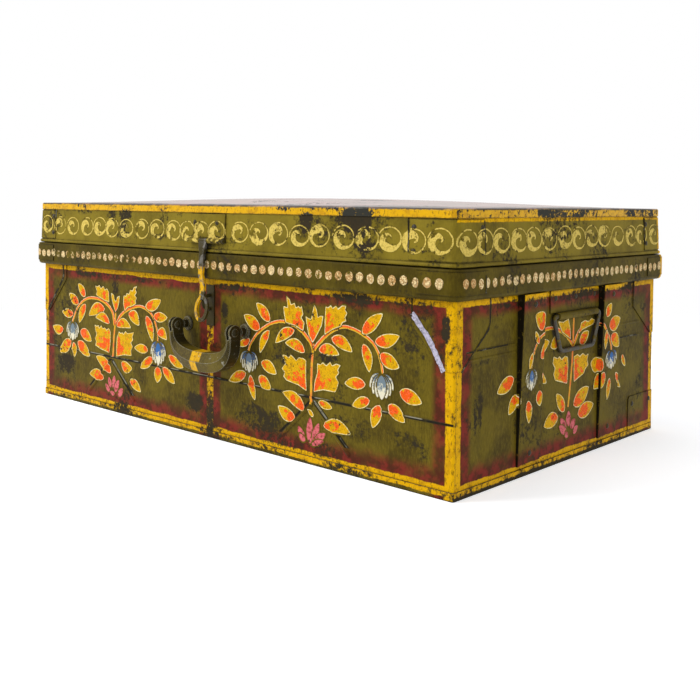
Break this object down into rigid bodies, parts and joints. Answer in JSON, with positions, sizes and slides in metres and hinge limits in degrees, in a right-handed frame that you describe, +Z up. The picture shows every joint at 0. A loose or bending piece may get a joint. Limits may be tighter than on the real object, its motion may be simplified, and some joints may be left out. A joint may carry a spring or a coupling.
{
  "type": "painted sheet metal trunk",
  "caption": "Rectangular painted sheet-iron storage trunk with a domed hinged lid, hasp and staple, drop handle on the front and wire bails on the ends.",
  "frame": {"origin": "centre of the flat underside", "axes": "+X along the length, -Y out of the front with the hasp, +Z up"},
  "size_m": [0.784, 0.4829, 0.2982],
  "materials": {
    "pan_paint": "olive oil paint with a yellow line, worn at the edge",
    "body_paint": "olive oil paint with painted sprays and borders, worn",
    "collar_paint": "olive oil paint with a row of painted dots",
    "corner_plate_paint": "olive oil paint, chipped along the edges",
    "strap_paint": "olive oil paint, worn",
    "lid_paint": "olive oil paint with painted scrolls",
    "lid_top_paint": "glossy old paint, scuffed",
    "rivet_paint": "paint worn through on the heads",
    "iron_wire": "plain wire",
    "bail_wire": "paint mostly worn off",
    "handle_iron": "forged, painted and worn dark",
    "hasp_iron": "paint worn off to grey metal",
    "staple_iron": "painted and worn dark",
    "hinge_iron": "painted and worn dark"
  },
  "bodies": {
    "trunk": {"bottom_pan": "pan_paint", "body_front": "body_paint", "body_back": "body_paint", "body_right_end": "body_paint", "body_left_end": "body_paint", "collar_front": "collar_paint", "collar_back": "collar_paint", "collar_right": "collar_paint", "collar_left": "collar_paint", "gusset_front_right": "corner_plate_paint", "gusset_front_left": "corner_plate_paint", "gusset_back_right": "corner_plate_paint", "gusset_back_left": "corner_plate_paint", "foot_patch_back_right": "corner_plate_paint", "foot_patch_back_left": "corner_plate_paint", "collar_patch_front_right": "corner_plate_paint", "collar_patch_front_left": "corner_plate_paint", "collar_patch_back_right": "corner_plate_paint", "collar_patch_back_left": "corner_plate_paint", "right_end_front_strap": "strap_paint", "right_end_back_strap": "strap_paint", "left_end_front_strap": "strap_paint", "left_end_back_strap": "strap_paint", "right_handle_plate": "strap_paint", "left_handle_plate": "strap_paint", "foot_rivets": "rivet_paint", "strap_rivets": "rivet_paint", "handle_plate_rivets": "rivet_paint", "hinge_rivets_body": "rivet_paint", "handle_eye_left": "handle_iron", "handle_eye_right": "handle_iron", "staple_plate": "staple_iron", "staple": "staple_iron", "left_hinge_body_leaf": "hinge_iron", "right_hinge_body_leaf": "hinge_iron", "left_hinge_pin": "hinge_iron", "right_hinge_pin": "hinge_iron"},
    "lid": {"lid_top": "lid_top_paint", "lid_front_strip": "lid_paint", "lid_back_strip": "lid_paint", "lid_right_strip": "lid_paint", "lid_left_strip": "lid_paint", "lid_rim_wire": "iron_wire", "lid_patch_front_right": "corner_plate_paint", "lid_patch_front_left": "corner_plate_paint", "lid_patch_back_right": "corner_plate_paint", "lid_patch_back_left": "corner_plate_paint", "lid_rivets": "rivet_paint", "hasp_hinge_plate": "lid_paint", "hasp_pin": "hasp_iron", "left_hinge_lid_leaf": "hinge_iron", "right_hinge_lid_leaf": "hinge_iron"},
    "hasp": {"hasp": "hasp_iron"},
    "front_handle": {"front_handle": "handle_iron"},
    "right_bail": {"right_bail": "bail_wire"},
    "left_bail": {"left_bail": "bail_wire"}
  },
  "joints": [
    {"name": "lid_hinge", "type": "hinge", "parent": "trunk", "child": "lid", "pos_m": [0, 0.23118, 0.23], "axis": [-1, 0, 0], "range_deg": [0, 110]},
    {"name": "hasp_hinge", "type": "hinge", "parent": "lid", "child": "hasp", "pos_m": [0.0068, -0.22718, 0.2443], "axis": [-1, 0, 0], "range_deg": [0, 135]},
    {"name": "front_handle_pivot", "type": "hinge", "parent": "trunk", "child": "front_handle", "pos_m": [0.02, -0.238, 0.1385], "axis": [-1, 0, 0], "range_deg": [0, 90]},
    {"name": "right_bail_pivot", "type": "hinge", "parent": "trunk", "child": "right_bail", "pos_m": [0.38508, 0.013, 0.1678], "axis": [0, -1, 0], "range_deg": [0, 95]},
    {"name": "left_bail_pivot", "type": "hinge", "parent": "trunk", "child": "left_bail", "pos_m": [-0.38508, 0.013, 0.1678], "axis": [0, 1, 0], "range_deg": [0, 95]}
  ]
}
